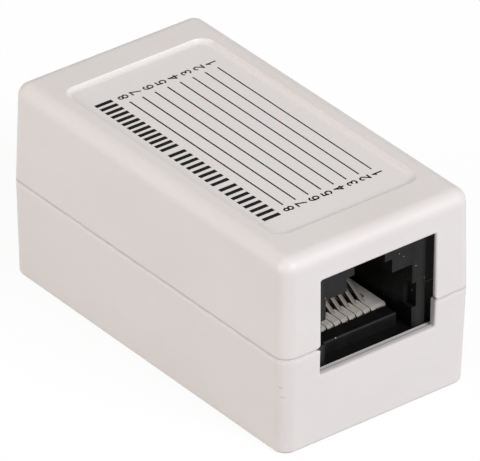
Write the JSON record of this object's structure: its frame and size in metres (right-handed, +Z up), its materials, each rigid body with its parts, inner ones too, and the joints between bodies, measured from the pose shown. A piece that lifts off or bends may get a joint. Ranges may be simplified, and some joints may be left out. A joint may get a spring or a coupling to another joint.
{
  "type": "rj45 inline coupler",
  "caption": "Small white plastic box in two halves with a black modular network socket in each end, joined by a board inside, and a shallow printed recess on top",
  "frame": {"origin": "under the middle of the box, on the face it rests on", "axes": "X runs through both sockets, Y across the box with contact 1 on the +Y side, Z up"},
  "size_m": [0.0482, 0.026, 0.0243],
  "materials": {
    "shell_plastic": "fine matt moulded, warm white",
    "socket_plastic": "satin black moulded",
    "carrier_plastic": "smooth moulded, natural grey white",
    "contact_metal": "nickel plated phosphor bronze",
    "board_laminate": "green solder mask on glass laminate",
    "solder": "bright solder"
  },
  "bodies": {
    "root": {"upper_shell": "shell_plastic", "lower_shell": "shell_plastic", "circuit_board": "board_laminate", "jack_housing_front": "socket_plastic", "jack_housing_rear": "socket_plastic", "contact_carrier_front": "carrier_plastic", "contact_carrier_rear": "carrier_plastic", "solder_front": "solder", "solder_rear": "solder", "contact_front_1": "contact_metal", "contact_rear_1": "contact_metal", "contact_front_2": "contact_metal", "contact_rear_2": "contact_metal", "contact_front_3": "contact_metal", "contact_rear_3": "contact_metal", "contact_front_4": "contact_metal", "contact_rear_4": "contact_metal", "contact_front_5": "contact_metal", "contact_rear_5": "contact_metal", "contact_front_6": "contact_metal", "contact_rear_6": "contact_metal", "contact_front_7": "contact_metal", "contact_rear_7": "contact_metal", "contact_front_8": "contact_metal", "contact_rear_8": "contact_metal"}
  },
  "joints": []
}
